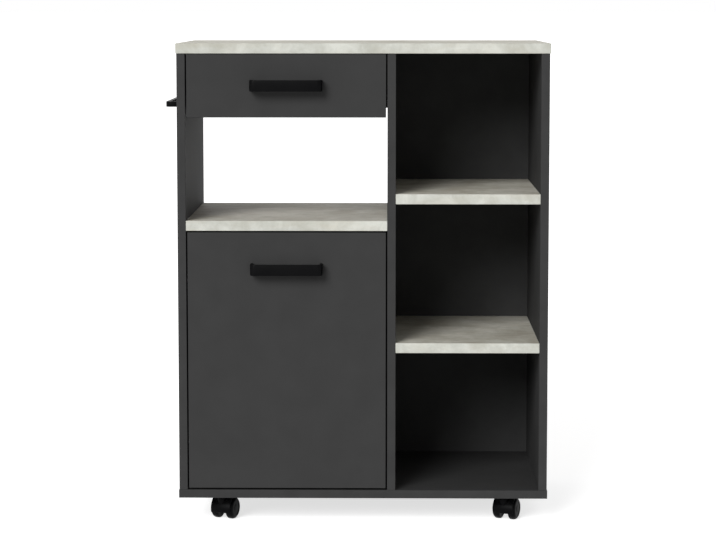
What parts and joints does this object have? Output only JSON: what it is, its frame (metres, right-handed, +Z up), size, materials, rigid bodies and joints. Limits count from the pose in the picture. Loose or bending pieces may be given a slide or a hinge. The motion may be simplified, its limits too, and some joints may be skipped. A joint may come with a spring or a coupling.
{
  "type": "serving cart",
  "caption": "Kitchen serving cart on twin-wheel casters: a drawer, an open niche and a hinged door beside open bays, with a stone-look worktop and a towel rail.",
  "frame": {"origin": "middle of the whole cart's footprint, on the floor, with the towel rail and the handles counted", "axes": "+Z up, +X to the right as seen from the front, +Y from the front into the depth"},
  "size_m": [0.69, 0.427, 0.867],
  "materials": {
    "dark_board": "melamine-faced particle board, matt dark grey",
    "concrete_board": "melamine-faced particle board, matt pale concrete print",
    "back_board": "thin hardboard, painted matt dark grey",
    "black_steel": "satin black powder coat",
    "runner_steel": "epoxy-coated rolled steel, dark grey",
    "roller_plastic": "moulded acetal",
    "zinc_steel": "zinc-plated steel",
    "caster_plastic": "moulded black nylon",
    "wheel_plastic": "moulded black nylon, smooth tread"
  },
  "bodies": {
    "carcass": {"worktop": "concrete_board", "left_side_panel": "dark_board", "centre_divider": "dark_board", "right_side_panel": "dark_board", "bottom_panel": "dark_board", "niche_shelf": "concrete_board", "upper_shelf": "concrete_board", "lower_shelf": "concrete_board", "rear_rail": "dark_board", "back_panel_left": "back_board", "back_panel_right": "back_board", "towel_rail": "black_steel", "cabinet_runner_left": "runner_steel", "cabinet_runner_right": "runner_steel", "hinge_arms": "zinc_steel", "hinge_plates": "zinc_steel", "caster_plates": "zinc_steel"},
    "drawer": {"drawer_front": "dark_board", "drawer_side_left": "dark_board", "drawer_side_right": "dark_board", "drawer_back": "dark_board", "drawer_bottom": "back_board", "drawer_handle": "black_steel", "drawer_runner_left": "runner_steel", "drawer_runner_right": "runner_steel"},
    "door": {"door_panel": "dark_board", "door_handle": "black_steel", "hinge_cups": "zinc_steel", "hinge_pins": "zinc_steel"},
    "front_rollers": {"front_rollers": "roller_plastic"},
    "rear_rollers": {"rear_rollers": "roller_plastic"},
    "swivel_front_left": {"caster_fork_front_left": "caster_plastic", "caster_axle_front_left": "zinc_steel"},
    "wheel_a_front_left": {"caster_wheel_a_front_left": "wheel_plastic"},
    "wheel_b_front_left": {"caster_wheel_b_front_left": "wheel_plastic"},
    "swivel_front_right": {"caster_fork_front_right": "caster_plastic", "caster_axle_front_right": "zinc_steel"},
    "wheel_a_front_right": {"caster_wheel_a_front_right": "wheel_plastic"},
    "wheel_b_front_right": {"caster_wheel_b_front_right": "wheel_plastic"},
    "swivel_rear_left": {"caster_fork_rear_left": "caster_plastic", "caster_axle_rear_left": "zinc_steel"},
    "wheel_a_rear_left": {"caster_wheel_a_rear_left": "wheel_plastic"},
    "wheel_b_rear_left": {"caster_wheel_b_rear_left": "wheel_plastic"},
    "swivel_rear_right": {"caster_fork_rear_right": "caster_plastic", "caster_axle_rear_right": "zinc_steel"},
    "wheel_a_rear_right": {"caster_wheel_a_rear_right": "wheel_plastic"},
    "wheel_b_rear_right": {"caster_wheel_b_rear_right": "wheel_plastic"}
  },
  "joints": [
    {"name": "drawer_slide", "type": "slide", "parent": "carcass", "child": "drawer", "axis": [0, -1, 0], "range_m": [0, 0.26]},
    {"name": "door_hinge", "type": "hinge", "parent": "carcass", "child": "door", "pos_m": [-0.292, -0.18, 0.29825], "axis": [0, 0, -1], "range_deg": [0, 95]},
    {"name": "front_rollers_turn", "type": "hinge", "parent": "carcass", "child": "front_rollers", "pos_m": [-0.1245, -0.1575, 0.76325], "axis": [1, 0, 0], "range_deg": [0, 1760]},
    {"name": "rear_rollers_turn", "type": "hinge", "parent": "drawer", "child": "rear_rollers", "pos_m": [-0.1245, 0.1485, 0.76215], "axis": [1, 0, 0], "range_deg": [0, 1760]},
    {"name": "swivel_turn_front_left", "type": "hinge", "parent": "carcass", "child": "swivel_front_left", "pos_m": [-0.245, -0.1465, 0.0455], "axis": [0, 0, 1], "continuous": true},
    {"name": "wheel_roll_a_front_left", "type": "hinge", "parent": "swivel_front_left", "child": "wheel_a_front_left", "pos_m": [-0.25404, -0.12883, 0.02], "axis": [0.9272, -0.3746, 0], "continuous": true},
    {"name": "wheel_roll_b_front_left", "type": "hinge", "parent": "swivel_front_left", "child": "wheel_b_front_left", "pos_m": [-0.22622, -0.14007, 0.02], "axis": [0.9272, -0.3746, 0], "continuous": true},
    {"name": "swivel_turn_front_right", "type": "hinge", "parent": "carcass", "child": "swivel_front_right", "pos_m": [0.269, -0.1465, 0.0455], "axis": [0, 0, 1], "continuous": true},
    {"name": "wheel_roll_a_front_right", "type": "hinge", "parent": "swivel_front_right", "child": "wheel_a_front_right", "pos_m": [0.25996, -0.12883, 0.02], "axis": [0.9272, -0.3746, 0], "continuous": true},
    {"name": "wheel_roll_b_front_right", "type": "hinge", "parent": "swivel_front_right", "child": "wheel_b_front_right", "pos_m": [0.28778, -0.14007, 0.02], "axis": [0.9272, -0.3746, 0], "continuous": true},
    {"name": "swivel_turn_rear_left", "type": "hinge", "parent": "carcass", "child": "swivel_rear_left", "pos_m": [-0.245, 0.1735, 0.0455], "axis": [0, 0, 1], "continuous": true},
    {"name": "wheel_roll_a_rear_left", "type": "hinge", "parent": "swivel_rear_left", "child": "wheel_a_rear_left", "pos_m": [-0.25404, 0.19117, 0.02], "axis": [0.9272, -0.3746, 0], "continuous": true},
    {"name": "wheel_roll_b_rear_left", "type": "hinge", "parent": "swivel_rear_left", "child": "wheel_b_rear_left", "pos_m": [-0.22622, 0.17993, 0.02], "axis": [0.9272, -0.3746, 0], "continuous": true},
    {"name": "swivel_turn_rear_right", "type": "hinge", "parent": "carcass", "child": "swivel_rear_right", "pos_m": [0.269, 0.1735, 0.0455], "axis": [0, 0, 1], "continuous": true},
    {"name": "wheel_roll_a_rear_right", "type": "hinge", "parent": "swivel_rear_right", "child": "wheel_a_rear_right", "pos_m": [0.25996, 0.19117, 0.02], "axis": [0.9272, -0.3746, 0], "continuous": true},
    {"name": "wheel_roll_b_rear_right", "type": "hinge", "parent": "swivel_rear_right", "child": "wheel_b_rear_right", "pos_m": [0.28778, 0.17993, 0.02], "axis": [0.9272, -0.3746, 0], "continuous": true}
  ],
  "couplings": [
    {"joint": "front_rollers_turn", "follows": "drawer_slide", "rad_per_m": 117.65},
    {"joint": "rear_rollers_turn", "follows": "drawer_slide", "rad_per_m": 117.65}
  ]
}
